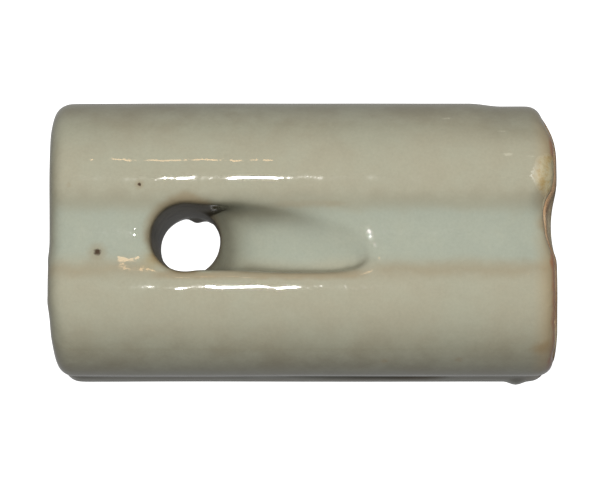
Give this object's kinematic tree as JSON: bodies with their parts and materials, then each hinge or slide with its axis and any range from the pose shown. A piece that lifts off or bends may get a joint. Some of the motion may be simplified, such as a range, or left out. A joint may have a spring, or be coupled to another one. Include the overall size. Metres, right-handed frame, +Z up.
{
  "type": "fence insulator",
  "caption": "Glazed porcelain strain insulator for a wire fence: a lobed bar with crossed wire holes, each leading into ramped wire grooves on both faces",
  "frame": {"origin": "Middle of the base: the bar lies on two of its long edges on z = 0, centred on x = 0 and y = 0", "axes": "+X runs along the bar to its unglazed end, +Y across it, +Z up. Hole A is upright at x = -16.6 mm, hole B lies along Y at x = +16.6 mm"},
  "size_m": [0.076, 0.0414, 0.0414],
  "materials": {
    "bare_porcelain": "matte",
    "glaze": "gloss"
  },
  "bodies": {
    "root": {"porcelain_body": "bare_porcelain", "glaze_coat": "glaze"}
  },
  "joints": []
}
